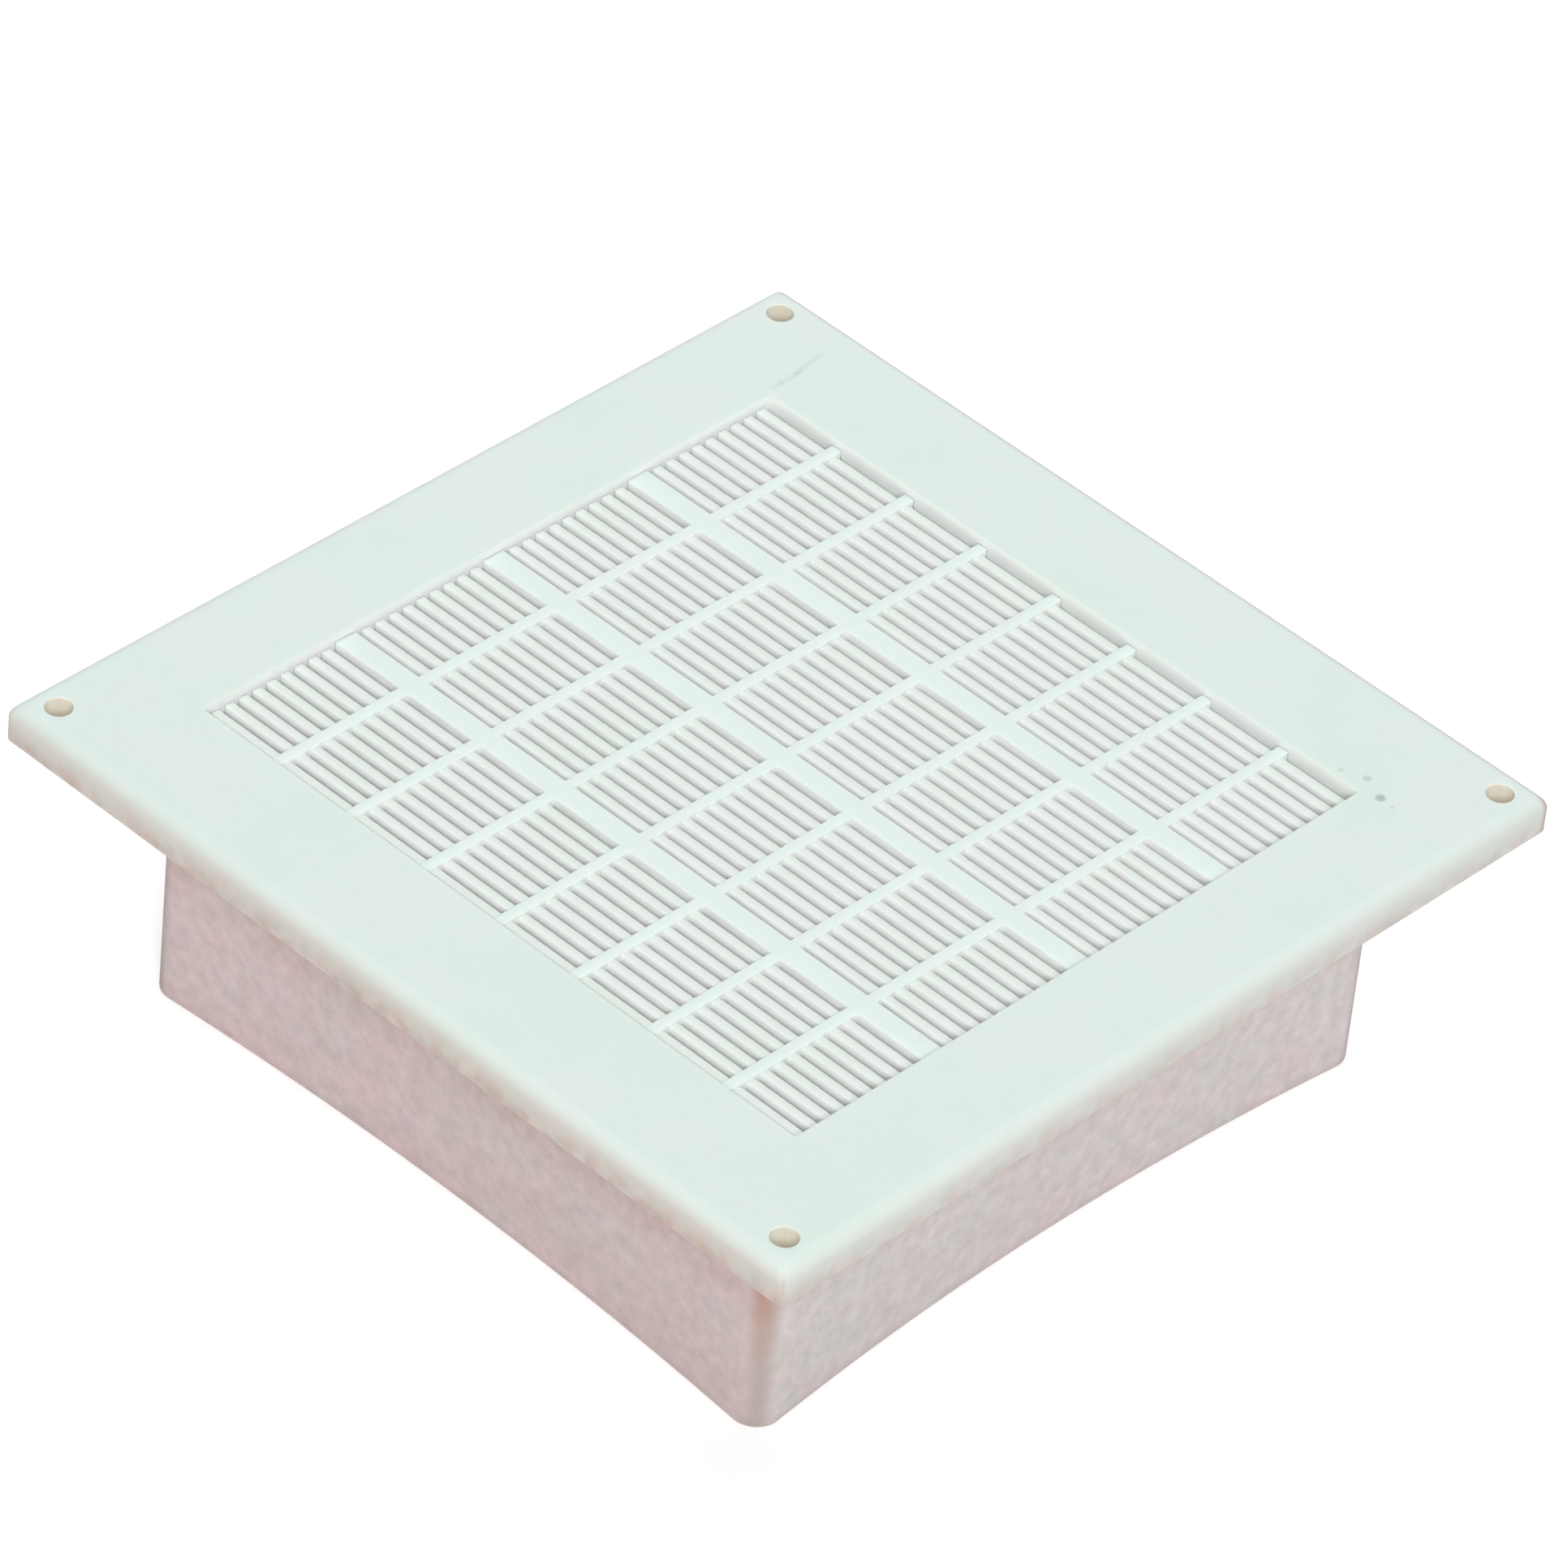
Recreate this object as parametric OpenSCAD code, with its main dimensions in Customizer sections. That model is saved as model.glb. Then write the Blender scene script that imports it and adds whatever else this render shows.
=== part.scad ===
// Square floor grille with a deep duct collar, moulded in one piece.
// Millimetres, +Z up. The origin is the centre of the collar's free rim,
// on which the grille stands while it isn't fitted. The rows of slots run
// along X, and the blocks of slots follow each other along X and Y.

/* [Cover plate] */
// Length of each side of the cover plate
plate_w = 170; // [158:1:260]
// Height of the turned-down rim, from its lower edge to the face
rim_h = 7; // [5:0.5:14]
// Thickness of the turned-down rim
rim_wall = 2; // [1.2:0.1:3]
// Thickness of the plate's face
face_t = 2.6; // [2.2:0.1:4]
// Radius of the plate's rounded upper edge
edge_r = 2.4; // [0.6:0.1:4]
// Radius of the plate's upright corners, seen from above
corner_r = 1; // [0.4:0.1:3]

/* [Screw holes] */
// Diameter of the four screw holes
screw_d = 4.5; // [3:0.1:5.5]
// Distance from each screw hole's centre to the plate's edges
screw_inset = 5.7; // [4.5:0.1:7]
// Thickness of the boss round each screw hole
boss_wall = 1.8; // [1:0.1:2.5]

/* [Collar] */
// Length of each side of the collar, outside, where it meets the plate
collar_w = 136; // [110:0.5:146]
// Depth of the collar below the plate's rim
collar_depth = 48.5; // [20:0.5:120]
// Thickness of the collar's walls
collar_wall = 2; // [1.2:0.1:4]
// Outer radius of the collar's upright corners
collar_r = 4.5; // [4.2:0.1:12]
// How far the free rim is drawn in, at the middle of the walls along X
bow_along_x = 2.7; // [0.1:0.1:6]
// How far the free rim is drawn in, at the middle of the walls along Y
bow_along_y = 3.4; // [0.1:0.1:6]

/* [Slotted field] */
// Blocks of slots side by side along X
columns = 8; // [2:1:12]
// Blocks of slots along Y
rows = 4; // [1:1:6]
// Slots in each block
slots = 10; // [3:1:12]
// Width of the slats between the slots
slat_w = 1.65; // [1:0.05:1.8]
// Thickness of the slats
slat_t = 2; // [1:0.1:2.4]
// How far the slats lie below the top of the bars
slat_drop = 0.4; // [0.2:0.1:1.5]
// Width of the narrow bars between the columns
bar_w = 2.05; // [1:0.05:4]
// Width of the wide bars between the rows
cross_w = 4.3; // [2:0.1:8]
// Depth of the bars
bar_t = 2.6; // [2:0.1:5]
// How far the top of the bars lies below the plate's face
bar_drop = 1.2; // [0.2:0.1:1.6]
// Ledge between the collar's inner wall and the field, along X
ledge_x = 1.45; // [0.3:0.05:6]
// Ledge between the collar's inner wall and the field, along Y
ledge_y = 3.85; // [0.3:0.05:8]

/* [Hidden] */

$fn = 48;
// Overlap of pieces that are joined, and overrun of cuts
join = 0.5;
over = 1;

// Heights above the collar's free rim
seat_z = collar_depth;
face_z = seat_z + rim_h;
face_low = face_z - face_t;
bar_top = face_z - bar_drop;
bar_low = bar_top - bar_t;
slat_top = bar_top - slat_drop;

// The slotted field fills the collar's inside, apart from its ledges
collar_in = collar_w - 2 * collar_wall;
field_x = collar_in - 2 * ledge_x;
field_y = collar_in - 2 * ledge_y;
column_pitch = (field_x + bar_w) / columns;
row_pitch = (field_y + cross_w) / rows;
slot_w = (row_pitch - cross_w - (slots - 1) * slat_w) / slots;

// Screw bosses
boss_r = screw_d / 2 + boss_wall;
screw_at = plate_w / 2 - screw_inset;

// Points on one side and on one corner of the collar's outline, and its levels
side_steps = 14;
corner_steps = 6;
levels = 8;

// Square with round corners, made of plain squares and circles
module round_square(w, r) {
    square([w - 2 * r, w], center = true);
    square([w, w - 2 * r], center = true);
    for (x = [-1, 1], y = [-1, 1])
        translate([x * (w / 2 - r), y * (w / 2 - r)]) circle(r);
}

// Section of a block of width w and height h, with its two upper edges round
module round_top(w, h, r) {
    translate([-w / 2, 0]) square([w, h - r]);
    translate([r - w / 2, 0]) square([w - 2 * r, h]);
    for (x = [-1, 1])
        translate([x * (w / 2 - r), h - r]) circle(r);
}

// Bar with the round_top section, lying along Y and centred on the origin
module round_top_bar(w, h, r) {
    rotate([90, 0, 0])
        linear_extrude(w + 2 * over, center = true) round_top(w, h, r);
}

// Solid block of the plate: two crossing bars leave all four upper edges round
module plate_block() {
    intersection() {
        round_top_bar(plate_w, rim_h, edge_r);
        rotate([0, 0, 90]) round_top_bar(plate_w, rim_h, edge_r);
        linear_extrude(rim_h) round_square(plate_w, corner_r);
    }
}

// Plate with its rim, hollow from below, and the window of the slotted field
module cover_plate() {
    difference() {
        translate([0, 0, seat_z]) plate_block();
        translate([0, 0, seat_z - over])
            linear_extrude(rim_h - face_t + over)
                square(plate_w - 2 * rim_wall, center = true);
        translate([0, 0, seat_z])
            linear_extrude(rim_h + over)
                square([field_x, field_y], center = true);
    }
}

// Boss under each corner, down to the seat, so that a screw can't bend the plate
module screw_bosses() {
    for (x = [-1, 1], y = [-1, 1])
        translate([x * screw_at, y * screw_at, seat_z])
            cylinder(h = rim_h - face_t + join, r = boss_r);
}

module screw_holes() {
    for (x = [-1, 1], y = [-1, 1])
        translate([x * screw_at, y * screw_at, seat_z - over])
            cylinder(h = rim_h + 2 * over, d = screw_d);
}

// Frame round the field, as deep as the bars, in which they and the slats end.
// It fills the ledges as far as the collar's wall.
module field_frame() {
    translate([0, 0, bar_low])
        linear_extrude(face_low + join - bar_low)
            difference() {
                round_square(collar_in + 2 * join, collar_r - collar_wall + join);
                square([field_x, field_y], center = true);
            }
}

// Bars between the blocks: narrow ones along Y, wide ones along X
module bars() {
    translate([0, 0, bar_low])
        linear_extrude(bar_t) {
            for (i = [1 : columns - 1])
                translate([i * column_pitch - (field_x + bar_w) / 2, 0])
                    square([bar_w, field_y + 2 * join], center = true);
            for (j = [1 : rows - 1])
                translate([0, j * row_pitch - (field_y + cross_w) / 2])
                    square([field_x + 2 * join, cross_w], center = true);
        }
}

// Slats: each one runs through all the bars of its row
module slats() {
    translate([0, 0, slat_top - slat_t])
        linear_extrude(slat_t)
            for (j = [0 : rows - 1], k = [1 : slots - 1])
                translate([
                    -field_x / 2 - join,
                    j * row_pitch - field_y / 2 + k * (slot_w + slat_w) - slat_w
                ])
                    square([field_x + 2 * join, slat_w]);
}

// One side of the collar's outline, from corner to corner. It starts at the
// corner on its right, seen from outside: w is the side, r the corner, bow the
// draw at the middle. The first side faces -Y.
function side_points(w, r, bow) = [
    for (i = [0 : side_steps - 1])
        let (t = 2 * i / side_steps - 1)
            [t * (w / 2 - r), bow * (1 - t * t) - w / 2]
];

// The corner that follows that side
function corner_points(w, r) = [
    for (i = [0 : corner_steps - 1])
        let (a = 90 * i / corner_steps - 90)
            [w / 2 - r + r * cos(a), r - w / 2 + r * sin(a)]
];

function turned(points, a) = [
    for (p = points)
        [p[0] * cos(a) - p[1] * sin(a), p[0] * sin(a) + p[1] * cos(a)]
];

// Closed outline, anticlockwise, with a share of the full bow on its sides
function outline(w, r, share) = [
    for (q = [0 : 3])
        let (bow = share * (q % 2 == 0 ? bow_along_x : bow_along_y))
            each turned(concat(side_points(w, r, bow), corner_points(w, r)), 90 * q)
];

function at_height(points, z) = [for (p = points) [p[0], p[1], z]];

// Wall of the collar: up the outside and down the inside, level by level. The
// walls leave the plate straight, and are drawn in more towards the free rim.
module collar() {
    top = face_low + join;
    heights = [for (k = [0 : levels]) k < levels ? k * seat_z / (levels - 1) : top];
    shares = [for (z = heights) pow(max(0, 1 - z / seat_z), 2)];
    outer = [
        for (k = [0 : levels])
            at_height(outline(collar_w, collar_r, shares[k]), heights[k])
    ];
    inner = [
        for (k = [levels : -1 : 0])
            at_height(outline(collar_in, collar_r - collar_wall, shares[k]), heights[k])
    ];
    rings = concat(outer, inner);
    n = len(rings);
    m = len(rings[0]);
    faces = [
        for (k = [0 : n - 1], i = [0 : m - 1])
            let (
                a = k * m + i,
                b = k * m + (i + 1) % m,
                c = (k + 1) % n * m + (i + 1) % m,
                d = (k + 1) % n * m + i
            )
                each [[a, c, b], [a, d, c]]
    ];
    polyhedron(points = [for (r = rings) each r], faces = faces);
}

module grille() {
    color([0.89, 0.94, 0.92])
        difference() {
            union() {
                cover_plate();
                screw_bosses();
                field_frame();
                bars();
                slats();
                collar();
            }
            screw_holes();
        }
}

grille();
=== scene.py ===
"""Looks of the square floor grille: one white plastic moulding with a slotted face and a duct collar.

Lengths are in metres, in the part's own frame: the origin is the centre of the collar's free
rim, +Z goes up through the slotted face, and the slots run along X.
"""
from math import cos, pi, radians, sin

import bmesh
import bpy
from mathutils import Matrix, Vector


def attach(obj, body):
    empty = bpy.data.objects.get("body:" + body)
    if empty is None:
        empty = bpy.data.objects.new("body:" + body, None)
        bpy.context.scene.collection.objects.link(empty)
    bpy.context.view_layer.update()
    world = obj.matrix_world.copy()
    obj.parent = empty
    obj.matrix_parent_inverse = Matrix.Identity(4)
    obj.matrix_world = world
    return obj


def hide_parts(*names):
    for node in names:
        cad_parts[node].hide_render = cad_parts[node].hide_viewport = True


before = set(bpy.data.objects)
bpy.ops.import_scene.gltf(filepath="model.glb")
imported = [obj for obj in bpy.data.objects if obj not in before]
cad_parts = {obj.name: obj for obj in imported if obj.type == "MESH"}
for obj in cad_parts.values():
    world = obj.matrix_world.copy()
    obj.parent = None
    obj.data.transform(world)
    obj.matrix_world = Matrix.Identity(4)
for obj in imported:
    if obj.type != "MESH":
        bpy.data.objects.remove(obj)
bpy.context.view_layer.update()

MM = 0.001

# Cover plate
PLATE_W = 170 * MM
RIM_H = 7 * MM
RIM_WALL = 2 * MM
FACE_T = 2.6 * MM
EDGE_R = 2.4 * MM
CORNER_R = 1 * MM
SEAT_Z = 48.5 * MM
FACE_Z = SEAT_Z + RIM_H
FACE_LOW = FACE_Z - FACE_T

# Screw holes and the bosses round them
SCREW_R = 2.25 * MM
SCREW_AT = 79.3 * MM
BOSS_R = 4.05 * MM

# Duct collar
COLLAR_W = 136 * MM
COLLAR_WALL = 2 * MM
COLLAR_R = 4.5 * MM
BOW_FRONT_BACK = 2.7 * MM
BOW_SIDES = 3.4 * MM

# Slotted field
FIELD_X = 129.1 * MM
FIELD_Y = 124.3 * MM
COLUMNS = 8
ROWS = 4
SLOTS = 10
SLAT_W = 1.65 * MM
SLAT_T = 2 * MM
BAR_W = 2.05 * MM
CROSS_W = 4.3 * MM
BAR_T = 2.6 * MM
BAR_TOP = FACE_Z - 1.2 * MM
SLAT_TOP = BAR_TOP - 0.4 * MM

# How far pieces that are moulded together reach into each other
JOIN = 0.5 * MM
# Small radii of the moulding, where its edges aren't sharp
LIP_R = 0.4 * MM
BREAK_R = 0.3 * MM
FINE_BREAK_R = 0.2 * MM

# Viewing angle of the photograph: azimuth 0 looks along +Y, and roll tips the picture
VIEW_AZIMUTH = radians(41.0)
VIEW_ELEVATION = radians(39.6)
VIEW_ROLL = radians(5.97)
VIEW_TARGET = Vector((5.95 * MM, -5.59 * MM, FACE_Z))
VIEW_DISTANCE = 1607 * MM
VIEW_LENS = 238.8
VIEW_FILM = 36
VIEW_NEAR = 0.1
VIEW_FAR = 50

# White studio: the light from its walls and the brightness of its backdrop. Each soft box
# has a name, a place, a side length and a power in watts
WHITE = "#FFFFFF"
WALL_LIGHT = 0.27
BACKDROP_LIGHT = 1.0
SOFT_BOXES = [
    ("front", (2.36, -2.28, 2.32), 1.3, 93.0),
    ("overhead", (-0.15, 0.15, 1.25), 1.0, 5.5),
    ("back", (-0.90, 1.00, 0.70), 0.9, 3.2),
]
FLOOR_HALF = 3.0
FLOOR_DROP = 0.1 * MM
FLOOR_GREY = "#E6E6E5"
FLOOR_LIFT = 0.45

# Plastic: its clouding, how rough it is at low and at high grain, and how deep light goes in
CLOUD_SIZE = 28 * MM
CLOUD_LAVENDER = (1.014, 0.998, 1.012, 1)
CLOUD_GREEN = (0.979, 0.998, 0.982, 1)
SMOOTHEST = 0.60
ROUGHEST = 0.72
GRAIN_RELIEF = 0.05 * MM
LIGHT_DEPTH = 1 * MM

# Marks on the plate, painted shade and painted light: how far they reach, and the share of their colour
# where they are strongest
DUST_HEIGHT = 4.6 * MM
DUST_SHARE = 0.66
DUST_ENDWAYS = 0.7
DUST_PINK = "#D2ADA2"
DUST_GREY = "#BFB2A9"
# Painted shade on the rim's upright corners
PLATE_CORNER_SHADE = "#CFC4BB"
PLATE_CORNER_SHADE_SHARE = 0.8
FAR_LINE_START = 0.7 * MM
FAR_LINE_END = 1.8 * MM
FAR_LINE_SHARE = 0.8
FAR_LINE_BROWN = "#BFA09A"
# Painted light on the window's walls, which lie in shade
WINDOW_WALL_PAINTED_LIGHT = "#F6FFF8"
# Painted shade: the warm beige tint of the shade inside the screw holes
HOLE_SHADE_BEIGE = "#EEEADA"
HOLE_SHADE_SHARE = 0.7

# Hairline near the back corner: points of its course in millimetres
HAIRLINE = [(-67.3, 77.1), (-66.2, 69.9), (-66.0, 64.2)]
HAIRLINE_REACH = 0.8 * MM
HAIRLINE_GREY = "#BDCCC6"
# Specks at the right: place and radius in millimetres, and how strong each one is
SPECKS = [
    (68.0, 63.9, 1.2, 0.7),
    (63.4, 65.8, 1.0, 0.4),
    (59.4, 64.1, 0.8, 0.25),
    (70.7, 63.6, 0.6, 0.25),
]
SPECK_GREY = "#9FAFA6"

# Painted light: the raised bars' tops made lighter than the slats
BAR_PAINTED_LIGHT = "#E5F2ED"

# Marks, painted shadow and painted shade on the collar
PATCH_SIZE = 9 * MM
PATCH_PINK = (1.022, 0.984, 0.986, 1)
PATCH_GREY = (0.982, 1.012, 1.008, 1)
# Painted shadow: a mottled brownish band where the rim's shadow ends on the collar
RIM_SHADOW_START = 21 * MM
RIM_SHADOW_END = 27 * MM
RIM_SHADOW_SHARE = 0.24
RIM_SHADOW_BROWN = "#CAB0A8"
# Darker line along the collar's free rim: its height, share and colour
FREE_RIM_DARK_HEIGHT = 2 * MM
FREE_RIM_DARK_SHARE = 0.3
FREE_RIM_DARK = "#C2A29F"
# Painted shade on the collar's upright corners
COLLAR_CORNER_SHADE = "#B9A9A3"
COLLAR_CORNER_SHADE_SHARE = 0.75
RUN_AT = Vector((COLLAR_W / 2 - 2 * MM, -COLLAR_W / 2 + 1 * MM, 0))
RUN_CORE = 0.4 * MM
RUN_REACH = 2.8 * MM
RUN_FOOT = 13 * MM
RUN_FULL = 27 * MM
RUN_SHARE = 0.75
RUN_BROWN = "#C29A88"

# Points closer than MERGE become one, and edges shorter than SLIVER go
MERGE = 0.002 * MM
SLIVER = 0.001 * MM
# Edges stay sharp above this angle, and at the border of a face larger than this area
SHARP_ANGLE = radians(32)
FLAT_AREA = 100 * MM * MM


def node(tree, kind, links=None, **settings):
    """A node of a shader or geometry tree. links gives its inputs a value, or another node's output."""
    made = tree.nodes.new(kind)
    for name, value in settings.items():
        setattr(made, name, value)
    for socket, value in (links or {}).items():
        if isinstance(value, bpy.types.NodeSocket):
            tree.links.new(value, made.inputs[socket])
        else:
            made.inputs[socket].default_value = value
    return made


def maths(tree, operation, a, b):
    """The result of a sum, with numbers or outputs of other nodes."""
    return node(tree, "ShaderNodeMath", {0: a, 1: b}, operation=operation).outputs[0]


def vector_maths(tree, operation, a, b=(0, 0, 0), result="Vector"):
    """The same for vectors and colours. The result of a distance or a dot product is its Value."""
    return node(tree, "ShaderNodeVectorMath", {0: a, 1: b}, operation=operation).outputs[result]


def scaled(tree, vector, factor):
    return node(tree, "ShaderNodeVectorMath", {0: vector, "Scale": factor}, operation="SCALE").outputs[0]


def distance(tree, place, centre):
    return vector_maths(tree, "DISTANCE", place, centre, "Value")


def coordinate(tree, place, axis):
    return node(tree, "ShaderNodeSeparateXYZ", {0: place}).outputs[axis]


def from_above(tree, place):
    """The place with its height left out."""
    return vector_maths(tree, "MULTIPLY", place, (1, 1, 0))


def in_one_quarter(tree, place):
    """The place from above, mirrored to where X and Y are positive."""
    return vector_maths(tree, "ABSOLUTE", from_above(tree, place))


def ramp(tree, value, start, end, low, high):
    """low where the value is at start, high where it is at end, and even in between."""
    return node(tree, "ShaderNodeMapRange", {
        "Value": value, "From Min": start, "From Max": end, "To Min": low, "To Max": high,
    }).outputs["Result"]


def noise(tree, place, size, detail=2.0, roughness=0.5):
    """Noise with features of about the given size."""
    return node(tree, "ShaderNodeTexNoise", {
        "Vector": place, "Scale": 1 / size, "Detail": detail, "Roughness": roughness,
    }).outputs["Fac"]


def attribute(tree, name):
    return node(tree, "ShaderNodeAttribute", attribute_name=name).outputs["Fac"]


def srgb(code):
    """A colour written as #RRGGBB, in the linear values that shaders take."""
    parts = [int(code[i : i + 2], 16) / 255 for i in (1, 3, 5)]
    linear = [c / 12.92 if c <= 0.04045 else ((c + 0.055) / 1.055) ** 2.4 for c in parts]
    return (*linear, 1.0)


def mixed_colour(tree, share, first, second):
    """The first colour, with a share of the second in it."""
    # A mix has sockets for each kind of value; these are the ones for colours
    first_at, second_at, result_at = 6, 7, 2
    mix = node(tree, "ShaderNodeMix", {
        "Factor": share, first_at: first, second_at: second,
    }, data_type="RGBA")
    return mix.outputs[result_at]


def set_camera():
    """Camera at the photograph's viewing angle."""
    back = Vector((
        sin(VIEW_AZIMUTH) * cos(VIEW_ELEVATION),
        -cos(VIEW_AZIMUTH) * cos(VIEW_ELEVATION),
        sin(VIEW_ELEVATION),
    ))
    level = Vector((cos(VIEW_AZIMUTH), sin(VIEW_AZIMUTH), 0))
    right = cos(VIEW_ROLL) * level + sin(VIEW_ROLL) * back.cross(level)
    up = back.cross(right)
    data = bpy.data.cameras.new("camera")
    data.lens = VIEW_LENS
    data.sensor_width = VIEW_FILM
    data.clip_start = VIEW_NEAR
    data.clip_end = VIEW_FAR
    camera = bpy.data.objects.new("camera", data)
    camera.rotation_mode = "QUATERNION"
    camera.rotation_quaternion = Matrix((right, up, back)).transposed().to_quaternion()
    camera.location = VIEW_TARGET + back * VIEW_DISTANCE
    bpy.context.scene.collection.objects.link(camera)
    bpy.context.scene.camera = camera


def soft_box(name, place, size, watts):
    """A square lamp with a diffuser, turned to the middle of the grille."""
    data = bpy.data.lights.new(name, "AREA")
    data.shape = "SQUARE"
    data.size = size
    data.energy = watts
    lamp = bpy.data.objects.new(name, data)
    lamp.location = place
    aim = Vector((0, 0, FACE_Z / 2)) - lamp.location
    lamp.rotation_mode = "QUATERNION"
    lamp.rotation_quaternion = aim.to_track_quat("-Z", "Y")
    bpy.context.scene.collection.objects.link(lamp)


def seen_by_eye(tree):
    """1 for rays that show something to the eye: straight, mirrored or through glass."""
    rays = node(tree, "ShaderNodeLightPath")
    mirrored = maths(tree, "MAXIMUM", rays.outputs["Is Camera Ray"], rays.outputs["Is Glossy Ray"])
    return maths(tree, "MAXIMUM", mirrored, rays.outputs["Is Transmission Ray"])


def light_studio():
    """A white room: soft light from its walls, soft boxes, and a backdrop that looks white."""
    world = bpy.data.worlds.new("white studio")
    bpy.context.scene.world = world
    world.use_nodes = True
    tree = world.node_tree
    tree.nodes.clear()
    walls = node(tree, "ShaderNodeBackground", {"Color": srgb(WHITE), "Strength": WALL_LIGHT})
    backdrop = node(tree, "ShaderNodeBackground", {"Color": srgb(WHITE), "Strength": BACKDROP_LIGHT})
    mixed = node(tree, "ShaderNodeMixShader", {
        0: seen_by_eye(tree), 1: walls.outputs[0], 2: backdrop.outputs[0],
    })
    node(tree, "ShaderNodeOutputWorld", {"Surface": mixed.outputs[0]})
    for name, place, size, watts in SOFT_BOXES:
        soft_box(name, place, size, watts)


def lay_floor():
    """Pale floor. It looks white, and it keeps a soft shadow under the grille."""
    mesh = bpy.data.meshes.new("floor")
    half = FLOOR_HALF
    corners = [(-half, -half, 0), (half, -half, 0), (half, half, 0), (-half, half, 0)]
    mesh.from_pydata(corners, [], [(0, 1, 2, 3)])
    floor = bpy.data.objects.new("floor", mesh)
    floor.location.z = -FLOOR_DROP
    bpy.context.scene.collection.objects.link(floor)
    material = bpy.data.materials.new("studio floor")
    material.use_nodes = True
    tree = material.node_tree
    tree.nodes.clear()
    paint = node(tree, "ShaderNodeBsdfDiffuse", {"Color": srgb(FLOOR_GREY)})
    lift = maths(tree, "MULTIPLY", seen_by_eye(tree), FLOOR_LIFT)
    glow = node(tree, "ShaderNodeEmission", {"Color": srgb(WHITE), "Strength": lift})
    top = node(tree, "ShaderNodeAddShader", {0: paint.outputs[0], 1: glow.outputs[0]})
    # From below, the floor can be seen through
    clear = node(tree, "ShaderNodeBsdfTransparent")
    side = node(tree, "ShaderNodeNewGeometry")
    mixed = node(tree, "ShaderNodeMixShader", {
        0: side.outputs["Backfacing"], 1: top.outputs[0], 2: clear.outputs[0],
    })
    node(tree, "ShaderNodeOutputMaterial", {"Surface": mixed.outputs[0]})
    mesh.materials.append(material)


def moulded_abs(name, face, along_y, along_x, grain_size, grain_depth, marks_and_painted_light):
    """Injection-moulded white ABS, satin from a spark-eroded mould.

    What that gives the eye: an even milky colour without mirror images, light that goes about
    a millimetre into the edges and the slats, a faint clouding from the melt, and a grain.
    face is the colour of surfaces that look up, along_y and along_x of those that look
    along an axis. The side colours are painted shade and painted light: warmer for the tint
    of shade on turned surfaces, and near white on the slats' sides, which lie in shade.
    marks_and_painted_light adds marks of use, painted shade and painted light to the colour.
    """
    material = bpy.data.materials.new(name)
    material.use_nodes = True
    tree = material.node_tree
    tree.nodes.clear()
    place = node(tree, "ShaderNodeTexCoord").outputs["Object"]

    # Side colours by direction are painted shade and painted light, not a change of plastic
    turned = mixed_colour(tree, attribute(tree, "endways"), srgb(along_y), srgb(along_x))
    base = mixed_colour(tree, attribute(tree, "sideways"), srgb(face), turned)

    cloud = noise(tree, place, CLOUD_SIZE, detail=3.0, roughness=0.65)
    # The mould's own grain is about 0.1 mm; it is drawn coarser, so that it shows
    grain = noise(tree, place, grain_size, detail=3.0, roughness=0.6)
    tint = mixed_colour(tree, ramp(tree, cloud, 0.35, 0.65, 0.0, 1.0), CLOUD_LAVENDER, CLOUD_GREEN)
    grain_tone = ramp(tree, grain, 0.3, 0.7, 1 - grain_depth, 1 + grain_depth)
    clouded = vector_maths(tree, "MULTIPLY", base, tint)
    colour = marks_and_painted_light(tree, place, scaled(tree, clouded, grain_tone))

    rough = ramp(tree, grain, 0.3, 0.7, SMOOTHEST, ROUGHEST)
    relief = node(tree, "ShaderNodeBump", {
        "Height": grain, "Strength": 0.15, "Distance": GRAIN_RELIEF,
    }).outputs["Normal"]
    surface = node(tree, "ShaderNodeBsdfPrincipled", {
        "Base Color": colour, "Roughness": rough, "Normal": relief,
        "IOR": 1.53, "Specular IOR Level": 0.35,
        "Subsurface Weight": 1.0, "Subsurface Radius": (1.0, 0.95, 0.9), "Subsurface Scale": LIGHT_DEPTH,
    })
    node(tree, "ShaderNodeOutputMaterial", {"Surface": surface.outputs[0]})
    return material


def corners_painted_shade(tree, colour, share, code):
    """Painted shade on upright corners, greyed to take away the light they catch from the front."""
    shaded = maths(tree, "MULTIPLY", attribute(tree, "cornerwise"), share)
    return mixed_colour(tree, shaded, colour, srgb(code))


def rim_dust(tree, place, colour):
    """Patchy dust towards the turned-down rim's lower edge. There is less on the sides that face +-X."""
    share = ramp(tree, coordinate(tree, place, "Z"), SEAT_Z, SEAT_Z + DUST_HEIGHT, DUST_SHARE, 0.0)
    endways = ramp(tree, attribute(tree, "endways"), 0.0, 1.0, 1.0, DUST_ENDWAYS)
    share = maths(tree, "MULTIPLY", share, endways)
    mottling = ramp(tree, noise(tree, place, 3 * MM), 0.35, 0.65, 0.55, 1.35)
    patches = ramp(tree, noise(tree, place, 5 * MM), 0.4, 0.6, 0.0, 1.0)
    dust = mixed_colour(tree, patches, srgb(DUST_PINK), srgb(DUST_GREY))
    return mixed_colour(tree, maths(tree, "MULTIPLY", share, mottling), colour, dust)


def far_edge_line(tree, place, colour):
    """A thin brownish line along the far edge."""
    inwards = maths(tree, "SUBTRACT", PLATE_W / 2, coordinate(tree, place, "Y"))
    share = ramp(tree, inwards, FAR_LINE_START, FAR_LINE_END, FAR_LINE_SHARE, 0.0)
    return mixed_colour(tree, share, colour, srgb(FAR_LINE_BROWN))


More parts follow.
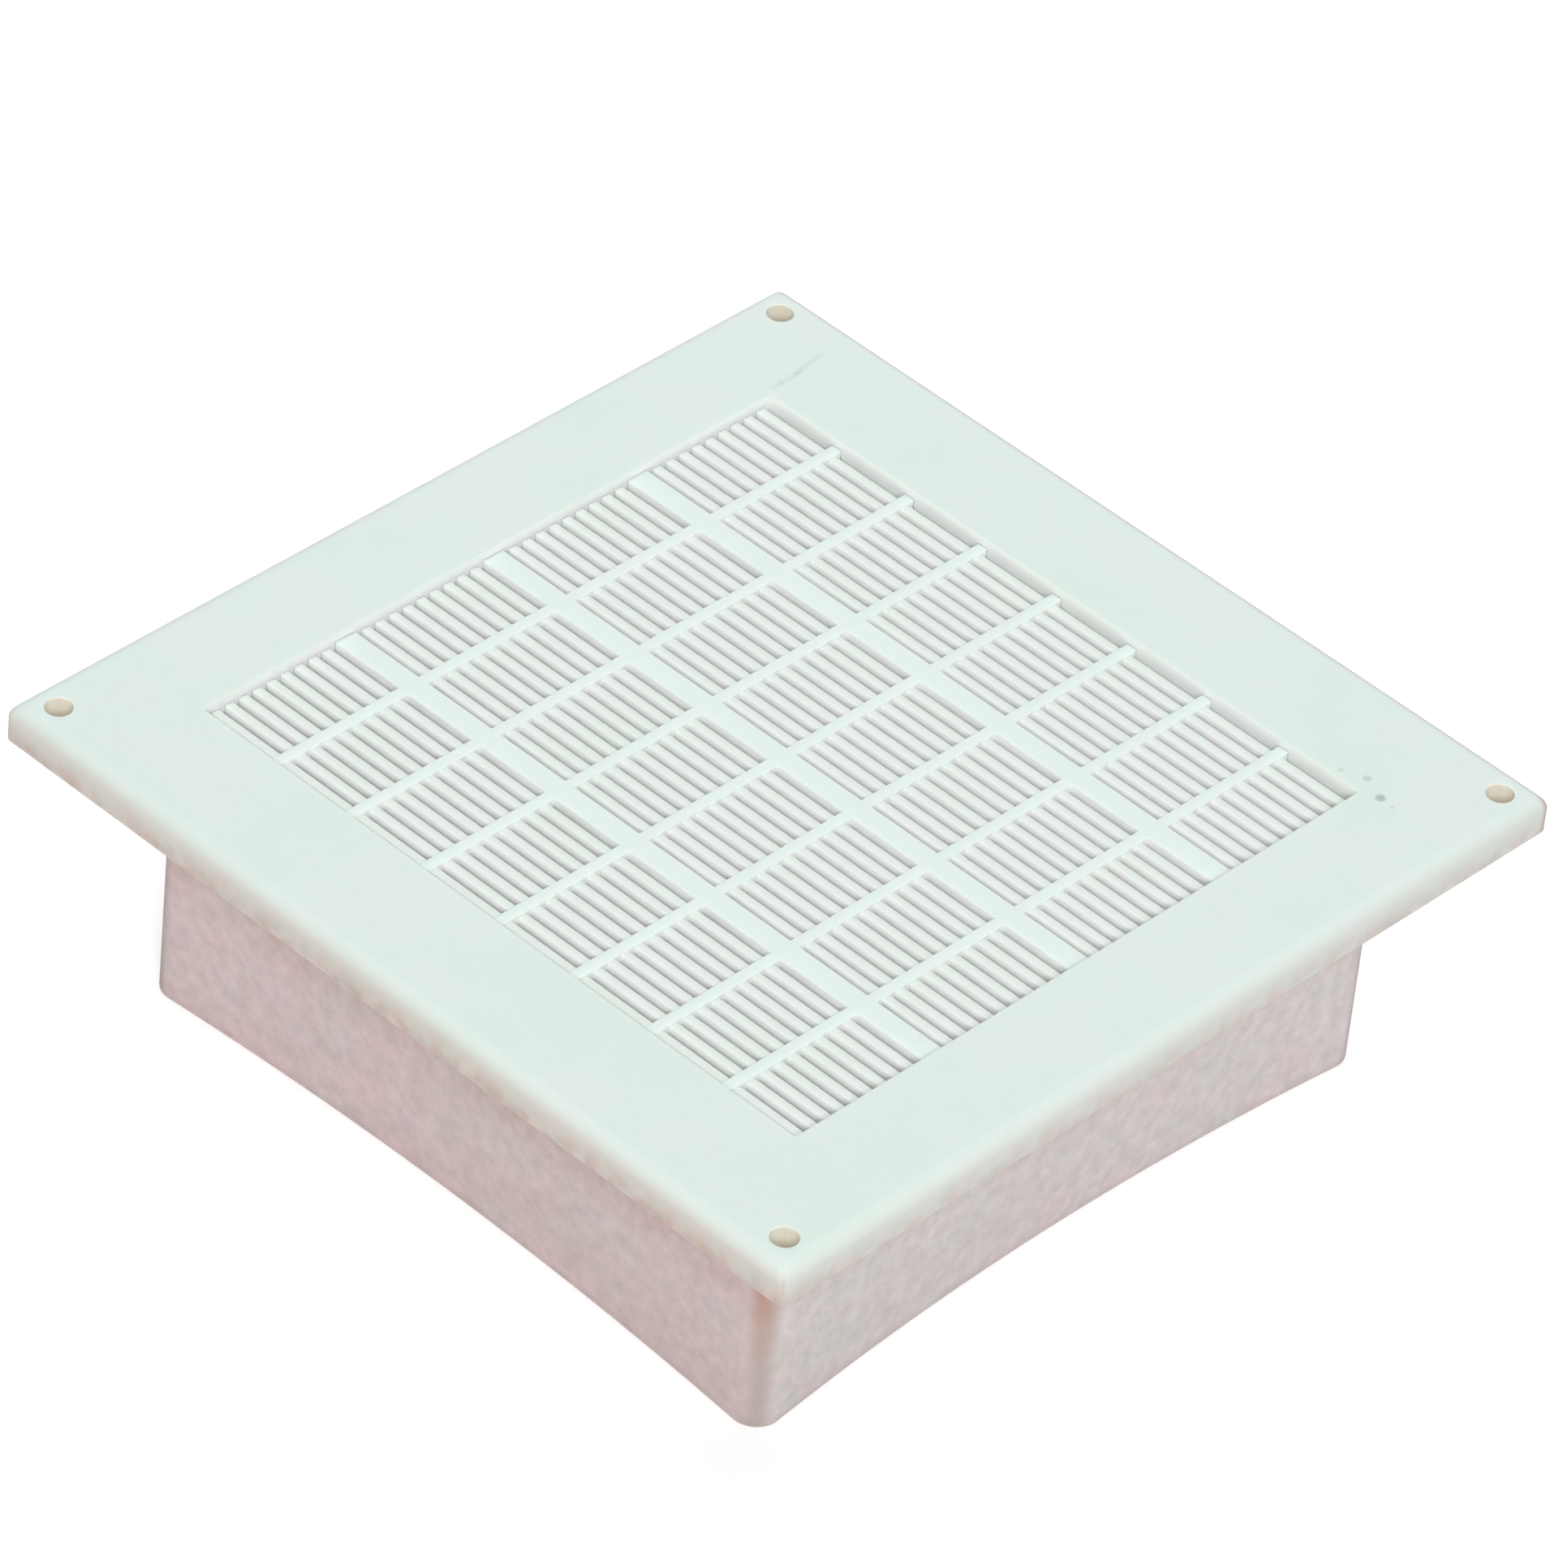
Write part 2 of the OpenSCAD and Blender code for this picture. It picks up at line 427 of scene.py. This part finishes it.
def window_walls_painted_light(tree, place, colour):
    """Painted light: the window's walls, which lie in shade, are made as light as the face."""
    half_window = (FIELD_X / 2, FIELD_Y / 2, 0)
    beside = vector_maths(tree, "SUBTRACT", in_one_quarter(tree, place), half_window)
    beside = maths(tree, "MAXIMUM", coordinate(tree, beside, "X"), coordinate(tree, beside, "Y"))
    near = ramp(tree, beside, 0.5 * LIP_R, 1.5 * LIP_R, 1.0, 0.0)
    upright = ramp(tree, attribute(tree, "sideways"), 0.5, 1.0, 0.0, 1.0)
    return mixed_colour(tree, maths(tree, "MULTIPLY", near, upright), colour, srgb(WINDOW_WALL_PAINTED_LIGHT))


def holes_painted_shade(tree, place, colour):
    """Painted shade: the screw holes' walls get the warm beige tint of the shade inside them."""
    off_axis = distance(tree, in_one_quarter(tree, place), (SCREW_AT, SCREW_AT, 0))
    rim_middle = SCREW_R + 0.5 * FINE_BREAK_R
    in_hole = ramp(tree, off_axis, rim_middle, SCREW_R + FINE_BREAK_R, HOLE_SHADE_SHARE, 0.0)
    return mixed_colour(tree, in_hole, colour, srgb(HOLE_SHADE_BEIGE))


def soft_spot(tree, colour, gap, reach, code, share):
    """A soft mark, by the distance from its middle. It is full up to a third of its reach."""
    fade = node(tree, "ShaderNodeMapRange", {
        "Value": gap, "From Min": reach * 0.35, "From Max": reach, "To Min": share, "To Max": 0.0,
    }, interpolation_type="SMOOTHSTEP").outputs["Result"]
    return mixed_colour(tree, fade, colour, srgb(code))


def hairline(tree, place, colour):
    """A faint, broken line on the face."""
    flat = from_above(tree, place)
    faint = ramp(tree, noise(tree, place, 4 * MM), 0.4, 0.6, 0.1, 0.5)
    for (ax, ay), (bx, by) in zip(HAIRLINE, HAIRLINE[1:]):
        start = Vector((ax, ay, 0)) * MM
        stretch = Vector((bx - ax, by - ay, 0)) * MM
        offset = vector_maths(tree, "SUBTRACT", flat, start)
        along = vector_maths(tree, "DOT_PRODUCT", offset, stretch / stretch.length_squared, "Value")
        along = node(tree, "ShaderNodeClamp", {"Value": along}).outputs[0]
        gap = distance(tree, offset, scaled(tree, stretch, along))
        colour = soft_spot(tree, colour, gap, HAIRLINE_REACH, HAIRLINE_GREY, faint)
    return colour


def specks(tree, place, colour):
    flat = from_above(tree, place)
    for x, y, radius, share in SPECKS:
        gap = distance(tree, flat, Vector((x, y, 0)) * MM)
        colour = soft_spot(tree, colour, gap, radius * MM, SPECK_GREY, share)
    return colour


def plate_wear_and_painted_light(tree, place, colour):
    """All marks, painted shade and painted light of the cover plate, one over the other."""
    colour = rim_dust(tree, place, colour)
    # Painted shade on the rim's upright corners
    colour = corners_painted_shade(tree, colour, PLATE_CORNER_SHADE_SHARE, PLATE_CORNER_SHADE)
    colour = far_edge_line(tree, place, colour)
    # Painted light on the window's shaded walls
    colour = window_walls_painted_light(tree, place, colour)
    # Painted shade inside the screw holes
    colour = holes_painted_shade(tree, place, colour)
    colour = hairline(tree, place, colour)
    return specks(tree, place, colour)


def field_painted_light(tree, place, colour):
    """Painted light: the bars stand higher than the slats, and their tops are made lighter."""
    height = coordinate(tree, place, "Z")
    # Painted light: the raised bar tops lighter than the lower slats
    raised = ramp(tree, height, SLAT_TOP + 0.1 * MM, BAR_TOP - 0.1 * MM, 0.0, 1.0)
    return mixed_colour(tree, raised, colour, srgb(BAR_PAINTED_LIGHT))


def brown_run(tree, place, colour):
    """A brown run down the corner nearest the viewer. It ends well above the free rim."""
    gap = distance(tree, from_above(tree, place), RUN_AT)
    near = ramp(tree, gap, RUN_CORE, RUN_REACH, RUN_SHARE, 0.0)
    high = ramp(tree, coordinate(tree, place, "Z"), RUN_FOOT, RUN_FULL, 0.0, 1.0)
    return mixed_colour(tree, maths(tree, "MULTIPLY", near, high), colour, srgb(RUN_BROWN))


def collar_wear_and_painted_shade(tree, place, colour):
    """Pink and grey patches, a painted shadow band under the plate, a darker line along the free rim,
    and painted shade on the corners.
    """
    patches = ramp(tree, noise(tree, place, PATCH_SIZE, detail=3.0), 0.38, 0.62, 0.0, 1.0)
    tint = mixed_colour(tree, patches, PATCH_PINK, PATCH_GREY)
    colour = vector_maths(tree, "MULTIPLY", colour, tint)

    height = coordinate(tree, place, "Z")
    # Painted shadow: a mottled brownish band where the rim's shadow ends on the collar
    painted_shadow = ramp(tree, height, RIM_SHADOW_START, RIM_SHADOW_END, 0.0, RIM_SHADOW_SHARE)
    mottling = ramp(tree, noise(tree, place, 4 * MM), 0.38, 0.62, 0.1, 1.7)
    colour = mixed_colour(tree, maths(tree, "MULTIPLY", painted_shadow, mottling), colour, srgb(RIM_SHADOW_BROWN))

    # Darker towards the free rim
    at_rim = ramp(tree, height, 0.0, FREE_RIM_DARK_HEIGHT, FREE_RIM_DARK_SHARE, 0.0)
    colour = mixed_colour(tree, at_rim, colour, srgb(FREE_RIM_DARK))
    # Painted shade on the collar's upright corners
    colour = corners_painted_shade(tree, colour, COLLAR_CORNER_SHADE_SHARE, COLLAR_CORNER_SHADE)
    return brown_run(tree, place, colour)


def outline(half_x, half_y, radius, z, along=1, round_steps=6, bow_x=0.0, bow_y=0.0):
    """Points of a rectangle with round corners, anticlockwise from above.

    bow_x draws the walls that face +-Y in at their middle, and bow_y those that face +-X.
    """
    points = []
    sides = [(half_x, half_y, bow_x), (half_y, half_x, bow_y)] * 2
    for turn, (long_half, short_half, bow) in enumerate(sides):
        turned = Matrix.Rotation(turn * pi / 2, 3, "Z")
        for i in range(along):
            t = 2 * i / along - 1
            on_side = Vector((t * (long_half - radius), bow * (1 - t * t) - short_half, z))
            points.append(turned @ on_side)
        for i in range(round_steps):
            a = pi / 2 * i / round_steps - pi / 2
            middle = Vector((long_half - radius, radius - short_half, z))
            points.append(turned @ (middle + radius * Vector((cos(a), sin(a), 0))))
    return points


def circle(x, y, radius, z, steps=40):
    """Points of a circle, anticlockwise from above."""
    middle = Vector((x, y, z))
    angles = [2 * pi * i / steps for i in range(steps)]
    return [middle + radius * Vector((cos(a), sin(a), 0)) for a in angles]


def quarter_turn(steps):
    """Angles from 0 to a quarter turn, both included."""
    return [pi / 2 * i / steps for i in range(steps + 1)]


def loft(name, rings, closed=False):
    """A skin over rings of points. Its ends are capped, or joined to each other if it is closed."""
    mesh = bpy.data.meshes.new(name)
    count = len(rings[0])
    faces = []
    for k in range(len(rings) if closed else len(rings) - 1):
        low, high = k * count, (k + 1) % len(rings) * count
        for i in range(count):
            j = (i + 1) % count
            faces.append((low + i, low + j, high + j, high + i))
    if not closed:
        last = (len(rings) - 1) * count
        faces.append(tuple(reversed(range(count))))
        faces.append(tuple(range(last, last + count)))
    mesh.from_pydata([p for ring in rings for p in ring], [], faces)
    return mesh


def scratch_object(mesh):
    made = bpy.data.objects.new(mesh.name, mesh)
    bpy.context.scene.collection.objects.link(made)
    return made


def evaluated_mesh(source):
    """The mesh that an object's modifiers give, as a plain mesh. The object goes."""
    depsgraph = bpy.context.evaluated_depsgraph_get()
    made = bpy.data.meshes.new_from_object(
        source.evaluated_get(depsgraph), preserve_all_data_layers=True, depsgraph=depsgraph
    )
    bpy.data.objects.remove(source)
    return made


def combine(mesh, others, operation):
    """The mesh with the others cut out of it, or added to it."""
    target = scratch_object(mesh)
    helpers = [scratch_object(other) for other in others]
    for helper in helpers:
        step = target.modifiers.new(helper.name, "BOOLEAN")
        step.object = helper
        step.operation = operation
        step.solver = "EXACT"
    made = evaluated_mesh(target)
    for helper in helpers:
        bpy.data.objects.remove(helper)
    return made


def hole_levels(radius):
    """(height, widening) pairs of a cutter through the plate, for a hole with a rounded upper edge."""
    levels = [(SEAT_Z - JOIN, 0.0)]
    for a in quarter_turn(4):
        levels.append((FACE_Z - radius * (1 - sin(a)), radius * (1 - cos(a))))
    levels.append((FACE_Z + JOIN, radius))
    return levels


def plate_block():
    """The plate as a solid block, with a round upper edge and a small one below."""
    levels = []
    for a in quarter_turn(2):
        levels.append((BREAK_R * (1 - sin(a)), SEAT_Z + BREAK_R * (1 - cos(a))))
    for a in quarter_turn(9):
        levels.append((EDGE_R * (1 - cos(a)), FACE_Z - EDGE_R * (1 - sin(a))))
    # Where the outline is drawn in, its corners get half as much rounder
    return loft("plate", [
        outline(PLATE_W / 2 - inset, PLATE_W / 2 - inset, CORNER_R + 0.5 * inset, z)
        for inset, z in levels
    ])


def window_cutter():
    """Opening of the slotted field, through the plate."""
    return loft("window", [
        outline(FIELD_X / 2 + wider, FIELD_Y / 2 + wider, BREAK_R + wider, z, round_steps=3)
        for z, wider in hole_levels(LIP_R)
    ])


def screw_cutter(x, y):
    return loft("screw hole", [
        circle(x, y, SCREW_R + wider, z) for z, wider in hole_levels(FINE_BREAK_R)
    ])


def boss(x, y):
    return loft("boss", [circle(x, y, BOSS_R, z) for z in (SEAT_Z, FACE_LOW + JOIN)])


def field_frame():
    """Frame round the slotted field, as deep as its bars, as far as the collar's wall."""
    half = COLLAR_W / 2 - COLLAR_WALL + JOIN
    radius = COLLAR_R - COLLAR_WALL + JOIN
    return loft("frame", [outline(half, half, radius, z) for z in (BAR_TOP - BAR_T, FACE_LOW + JOIN)])


def cover_plate():
    """Plate with its turned-down rim, hollow from below, with the window and four screw holes."""
    inside = PLATE_W / 2 - RIM_WALL
    hollow = loft("hollow", [outline(inside, inside, LIP_R, z) for z in (SEAT_Z - JOIN, FACE_LOW)])
    corners = [(x * SCREW_AT, y * SCREW_AT) for x in (-1, 1) for y in (-1, 1)]
    mesh = combine(plate_block(), [hollow], "DIFFERENCE")
    mesh = combine(mesh, [field_frame()] + [boss(x, y) for x, y in corners], "UNION")
    return combine(mesh, [window_cutter()] + [screw_cutter(x, y) for x, y in corners], "DIFFERENCE")


def duct_collar():
    """Wall of the collar: up the outside and down the inside. It bows in more towards its free rim."""
    top = FACE_LOW + JOIN
    half, wall = COLLAR_W / 2, COLLAR_WALL

    def level(inset, radius, z):
        share = max(0.0, 1 - z / SEAT_Z) ** 2
        return outline(
            half - inset, half - inset, radius, z, along=32, round_steps=10,
            bow_x=share * BOW_FRONT_BACK, bow_y=share * BOW_SIDES,
        )

    steps = 24
    heights = [LIP_R + (top - LIP_R) * k / steps for k in range(steps + 1)]
    # The last angle of the lip would repeat the first height
    lip = [(LIP_R * (1 - sin(a)), LIP_R * (1 - cos(a))) for a in quarter_turn(4)[:-1]]
    rings = [level(inset, COLLAR_R - inset, z) for inset, z in lip]
    rings += [level(0, COLLAR_R, z) for z in heights]
    rings += [level(wall, COLLAR_R - wall, z) for z in reversed(heights)]
    rings += [level(wall - inset, COLLAR_R - wall + inset, z) for inset, z in reversed(lip)]
    return loft("collar", rings, closed=True)


def bar_field(tree, length, width, depth, top, count, pitch, along_x):
    """Bars with round edges, side by side and evenly spread about the middle. Sizes are sockets."""
    def vector(x=0.0, y=0.0, z=0.0):
        return node(tree, "ShaderNodeCombineXYZ", {0: x, 1: y, 2: z}).outputs[0]

    half = maths(tree, "MULTIPLY", length, 0.5)
    back = maths(tree, "MULTIPLY", length, -0.5)
    ends = (vector(x=back), vector(x=half)) if along_x else (vector(y=back), vector(y=half))
    spine = node(tree, "GeometryNodeCurvePrimitiveLine", {"Start": ends[0], "End": ends[1]}).outputs[0]
    section = node(tree, "GeometryNodeCurvePrimitiveQuadrilateral", {
        "Width": width, "Height": depth,
    }).outputs[0]
    section = node(tree, "GeometryNodeFilletCurve", {
        "Curve": section, "Count": 3, "Radius": FINE_BREAK_R,
    }, mode="POLY").outputs[0]
    bar = node(tree, "GeometryNodeCurveToMesh", {
        "Curve": spine, "Profile Curve": section, "Fill Caps": True,
    }).outputs[0]

    gaps = maths(tree, "SUBTRACT", count, 1.0)
    first = maths(tree, "MULTIPLY", maths(tree, "MULTIPLY", gaps, pitch), -0.5)
    height = maths(tree, "SUBTRACT", top, maths(tree, "MULTIPLY", depth, 0.5))
    start = vector(y=first, z=height) if along_x else vector(x=first, z=height)
    step = vector(y=pitch) if along_x else vector(x=pitch)
    places = node(tree, "GeometryNodeMeshLine", {
        "Count": count, "Start Location": start, "Offset": step,
    }, mode="OFFSET").outputs[0]
    return node(tree, "GeometryNodeInstanceOnPoints", {"Points": places, "Instance": bar}).outputs[0]


# Named inputs of the slotted field
SIZES = {
    "Field length": FIELD_X, "Field width": FIELD_Y,
    "Slat width": SLAT_W, "Slat thickness": SLAT_T, "Slat top": SLAT_TOP,
    "Bar width": BAR_W, "Cross bar width": CROSS_W, "Bar depth": BAR_T, "Bar top": BAR_TOP,
    "Join": JOIN,
}
COUNTS = {"Columns": COLUMNS, "Rows": ROWS, "Slots": SLOTS}


def slotted_field_tree():
    """Slats in rows, narrow bars between the columns and wide bars between the rows."""
    tree = bpy.data.node_groups.new("slotted field", "GeometryNodeTree")
    tree.interface.new_socket("Geometry", in_out="OUTPUT", socket_type="NodeSocketGeometry")
    for name in SIZES:
        tree.interface.new_socket(name, in_out="INPUT", socket_type="NodeSocketFloat")
    for name in COUNTS:
        tree.interface.new_socket(name, in_out="INPUT", socket_type="NodeSocketInt")
    tree.interface.new_socket("Plastic", in_out="INPUT", socket_type="NodeSocketMaterial")
    size = node(tree, "NodeGroupInput").outputs

    column_pitch = maths(tree, "ADD", size["Field length"], size["Bar width"])
    column_pitch = maths(tree, "DIVIDE", column_pitch, size["Columns"])
    row_pitch = maths(tree, "ADD", size["Field width"], size["Cross bar width"])
    row_pitch = maths(tree, "DIVIDE", row_pitch, size["Rows"])
    reach = maths(tree, "MULTIPLY", size["Join"], 2.0)
    long_x = maths(tree, "ADD", size["Field length"], reach)
    long_y = maths(tree, "ADD", size["Field width"], reach)
    block = maths(tree, "SUBTRACT", row_pitch, size["Cross bar width"])
    slat_pitch = maths(tree, "DIVIDE", maths(tree, "ADD", block, size["Slat width"]), size["Slots"])
    slats_in_row = maths(tree, "SUBTRACT", size["Slots"], 1.0)
    bars_between_rows = maths(tree, "SUBTRACT", size["Rows"], 1.0)
    bars_between_columns = maths(tree, "SUBTRACT", size["Columns"], 1.0)

    slats = bar_field(
        tree, long_x, size["Slat width"], size["Slat thickness"], size["Slat top"],
        slats_in_row, slat_pitch, True,
    )
    first_row = maths(tree, "MULTIPLY", maths(tree, "MULTIPLY", bars_between_rows, row_pitch), -0.5)
    row_places = node(tree, "GeometryNodeMeshLine", {
        "Count": size["Rows"],
        "Start Location": node(tree, "ShaderNodeCombineXYZ", {1: first_row}).outputs[0],
        "Offset": node(tree, "ShaderNodeCombineXYZ", {1: row_pitch}).outputs[0],
    }, mode="OFFSET").outputs[0]
    all_slats = node(tree, "GeometryNodeInstanceOnPoints", {
        "Points": row_places, "Instance": slats,
    }).outputs[0]

    depth, top = size["Bar depth"], size["Bar top"]
    narrow = bar_field(
        tree, long_y, size["Bar width"], depth, top, bars_between_columns, column_pitch, False,
    )
    wide = bar_field(
        tree, long_x, size["Cross bar width"], depth, top, bars_between_rows, row_pitch, True,
    )
    joined = node(tree, "GeometryNodeJoinGeometry")
    for part in (all_slats, narrow, wide):
        tree.links.new(part, joined.inputs[0])
    solid = node(tree, "GeometryNodeRealizeInstances", {"Geometry": joined.outputs[0]}).outputs[0]
    union = node(tree, "GeometryNodeMeshBoolean", {
        "Self Intersection": True,
    }, operation="UNION", solver="EXACT")
    tree.links.new(solid, union.inputs["Mesh 2"])
    dressed = node(tree, "GeometryNodeSetMaterial", {
        "Geometry": union.outputs["Mesh"], "Material": size["Plastic"],
    }).outputs[0]
    node(tree, "NodeGroupOutput", {"Geometry": dressed})
    return tree


def slotted_field(plastic):
    carrier = scratch_object(bpy.data.meshes.new("slotted field"))
    carrier.data.materials.append(plastic)
    modifier = carrier.modifiers.new("slotted field", "NODES")
    modifier.node_group = slotted_field_tree()
    wanted = {**SIZES, **COUNTS, "Plastic": plastic}
    for socket in modifier.node_group.interface.items_tree:
        if socket.in_out == "INPUT":
            modifier[socket.identifier] = wanted[socket.name]
    return evaluated_mesh(carrier)


def clean_and_smooth(mesh):
    """Merges what coincides, turns all faces outward, and shades the round edges smooth."""
    work = bmesh.new()
    work.from_mesh(mesh)
    bmesh.ops.remove_doubles(work, verts=work.verts, dist=MERGE)
    bmesh.ops.dissolve_degenerate(work, edges=work.edges, dist=SLIVER)
    bmesh.ops.recalc_face_normals(work, faces=work.faces)
    for face in work.faces:
        face.smooth = True
        face.material_index = 0
    for edge in work.edges:
        sharp = edge.calc_face_angle(pi) > SHARP_ANGLE
        edge.smooth = not (sharp or any(face.calc_area() > FLAT_AREA for face in edge.link_faces))
    work.to_mesh(mesh)
    work.free()


def mark_directions(mesh):
    """Notes how far each surface looks sideways, how far along X, and how far between X and Y."""
    normals = [corner.vector.copy() for corner in mesh.corner_normals]
    looks = {
        "sideways": [min(1.0, max(0.0, 1 - n.z)) for n in normals],
        "endways": [n.x * n.x for n in normals],
        "cornerwise": [4 * n.x * n.x * n.y * n.y for n in normals],
    }
    for label, values in looks.items():
        mesh.attributes.new(label, "FLOAT", "CORNER").data.foreach_set("value", values)


def finish_piece(name, mesh, plastic):
    """Names and dresses a piece, and hands it over in place of the solid."""
    clean_and_smooth(mesh)
    mark_directions(mesh)
    mesh.name = name
    mesh.materials.clear()
    mesh.materials.append(plastic)
    piece = bpy.data.objects.new(name, mesh)
    bpy.context.scene.collection.objects.link(piece)
    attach(piece, "root")
    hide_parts("grille")


bpy.context.scene.view_settings.view_transform = "Standard"
set_camera()
light_studio()
lay_floor()

# Painted shade: the face plastic's warmer side colours
face_abs = moulded_abs(
    "moulded ABS, face", face="#E1EDE8", along_y="#E5E3DB", along_x="#E8EBE7",
    grain_size=1.6 * MM, grain_depth=0.006, marks_and_painted_light=plate_wear_and_painted_light,
)
# Painted light: the slats' near-white sides brighten the shaded slots
field_abs = moulded_abs(
    "moulded ABS, slats", face="#E4ECE7", along_y="#F9FFFB", along_x="#F9FFFB",
    grain_size=1.6 * MM, grain_depth=0.008, marks_and_painted_light=field_painted_light,
)
# Painted shade: the collar is a darker, pinker copy of the same plastic, for the shade under the plate
collar_abs = moulded_abs(
    "moulded ABS, collar", face="#DDD6D2", along_y="#DECDCC", along_x="#E1D9D8",
    grain_size=2.7 * MM, grain_depth=0.095, marks_and_painted_light=collar_wear_and_painted_shade,
)

finish_piece("cover_plate", cover_plate(), face_abs)
finish_piece("slotted_field", slotted_field(field_abs), field_abs)
finish_piece("duct_collar", duct_collar(), collar_abs)
